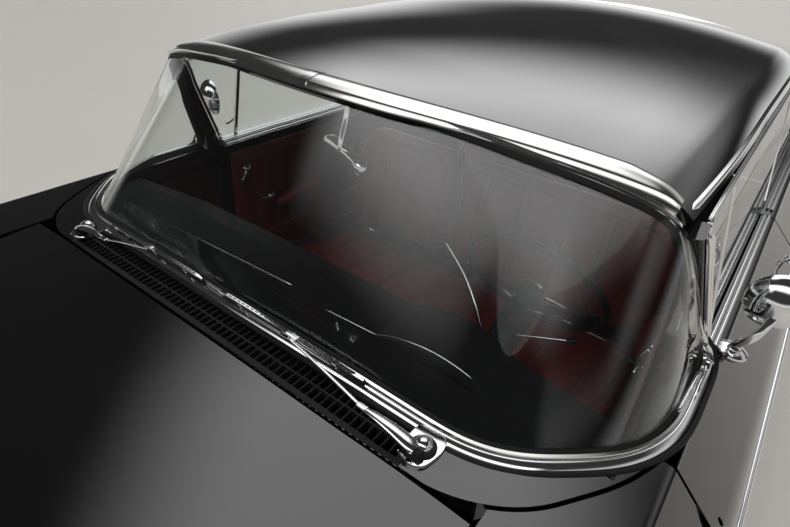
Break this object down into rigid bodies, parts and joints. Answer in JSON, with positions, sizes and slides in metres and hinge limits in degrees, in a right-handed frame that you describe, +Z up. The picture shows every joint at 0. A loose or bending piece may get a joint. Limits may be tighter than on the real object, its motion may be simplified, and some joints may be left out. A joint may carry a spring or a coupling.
{
  "type": "classic hardtop car",
  "caption": "Classic full-size hardtop car with wraparound windshield, bench seats, opening doors, hood and trunk lid, rolling wheels and steered front wheels.",
  "frame": {"origin": "on the ground, at the middle of the car's length and width", "axes": "+Z up, -Y towards the front of the car, +X towards its left (driver's) side"},
  "size_m": [1.989, 5.31, 1.4515],
  "materials": {
    "body_paint": "deep gloss black enamel",
    "dash_paint": "satin black enamel",
    "floor_paint": "semi-gloss black enamel",
    "chassis_paint": "semi-gloss black enamel",
    "bright_metal": "polished chrome plate",
    "wheel_metal": "chromed wheel cover and steel rim",
    "window_glass": "clear safety glass",
    "lamp_glass": "fluted clear lens",
    "lamp_red": "moulded red lens",
    "seat_vinyl": "dark red pleated vinyl",
    "tyre_rubber": "black rubber",
    "cast_iron": "painted casting",
    "radiator_metal": "black painted core",
    "wheel_rim_plastic": "hard black plastic"
  },
  "bodies": {
    "body": {"backlight": "window_glass", "cowl": "body_paint", "cowl_grille": "body_paint", "dash": "dash_paint", "engine": "cast_iron", "fender_left": "body_paint", "fender_right": "body_paint", "floor_pan": "floor_paint", "frame": "chassis_paint", "front_bumper": "bright_metal", "front_seat": "seat_vinyl", "front_suspension": "chassis_paint", "grille": "bright_metal", "headlamps": "lamp_glass", "inner_fenders": "floor_paint", "inside_mirror": "bright_metal", "nose_panel": "body_paint", "quarter_glass": "window_glass", "quarter_left": "body_paint", "quarter_right": "body_paint", "radiator": "radiator_metal", "rear_axle": "chassis_paint", "rear_bumper": "bright_metal", "rear_deck": "body_paint", "rear_seat": "seat_vinyl", "roof": "body_paint", "steering_column": "chassis_paint", "tail_panel": "body_paint", "taillamps": "lamp_red", "windshield": "window_glass", "wipers": "bright_metal"},
    "door_left": {"door_left": "body_paint", "door_glass_left": "window_glass", "mirror_left": "bright_metal"},
    "door_right": {"door_right": "body_paint", "door_glass_right": "window_glass", "mirror_right": "bright_metal"},
    "hood": {"hood": "body_paint"},
    "trunk_lid": {"trunk_lid": "body_paint"},
    "steering_wheel": {"steering_wheel": "wheel_rim_plastic"},
    "knuckle_left": {"knuckle_left": "cast_iron"},
    "knuckle_right": {"knuckle_right": "cast_iron"},
    "wheel_front_left": {"rim_front_left": "wheel_metal", "tyre_front_left": "tyre_rubber"},
    "wheel_front_right": {"rim_front_right": "wheel_metal", "tyre_front_right": "tyre_rubber"},
    "wheel_rear_left": {"rim_rear_left": "wheel_metal", "tyre_rear_left": "tyre_rubber"},
    "wheel_rear_right": {"rim_rear_right": "wheel_metal", "tyre_rear_right": "tyre_rubber"}
  },
  "joints": [
    {"name": "steer_left", "type": "hinge", "parent": "body", "child": "knuckle_left", "pos_m": [0.665, -1.735, 0.352], "axis": [0, 0, 1], "range_deg": [-30, 30]},
    {"name": "steer_right", "type": "hinge", "parent": "body", "child": "knuckle_right", "pos_m": [-0.665, -1.735, 0.352], "axis": [0, 0, 1], "range_deg": [-30, 30]},
    {"name": "steering_wheel_turn", "type": "hinge", "parent": "body", "child": "steering_wheel", "pos_m": [0.385, -0.3, 0.86], "axis": [0, 0.866, 0.5], "range_deg": [-490, 490]},
    {"name": "roll_front_left", "type": "hinge", "parent": "knuckle_left", "child": "wheel_front_left", "pos_m": [0.745, -1.735, 0.352], "axis": [1, 0, 0], "continuous": true},
    {"name": "roll_front_right", "type": "hinge", "parent": "knuckle_right", "child": "wheel_front_right", "pos_m": [-0.745, -1.735, 0.352], "axis": [1, 0, 0], "continuous": true},
    {"name": "roll_rear_left", "type": "hinge", "parent": "body", "child": "wheel_rear_left", "pos_m": [0.745, 1.25, 0.352], "axis": [1, 0, 0], "continuous": true},
    {"name": "roll_rear_right", "type": "hinge", "parent": "body", "child": "wheel_rear_right", "pos_m": [-0.745, 1.25, 0.352], "axis": [1, 0, 0], "continuous": true},
    {"name": "door_left_swing", "type": "hinge", "parent": "body", "child": "door_left", "pos_m": [0.95, -0.757, 0.68], "axis": [0, 0, -1], "range_deg": [0, 65]},
    {"name": "door_right_swing", "type": "hinge", "parent": "body", "child": "door_right", "pos_m": [-0.95, -0.757, 0.68], "axis": [0, 0, 1], "range_deg": [0, 65]},
    {"name": "hood_lift", "type": "hinge", "parent": "body", "child": "hood", "pos_m": [0, -1.15, 0.948], "axis": [-1, 0, 0], "range_deg": [0, 50]},
    {"name": "trunk_lift", "type": "hinge", "parent": "body", "child": "trunk_lid", "pos_m": [0, 1.632, 0.948], "axis": [1, 0, 0], "range_deg": [0, 60]}
  ],
  "couplings": [
    {"joint": "steer_right", "follows": "steer_left", "ratio": 1},
    {"joint": "steering_wheel_turn", "follows": "steer_left", "ratio": 16}
  ]
}
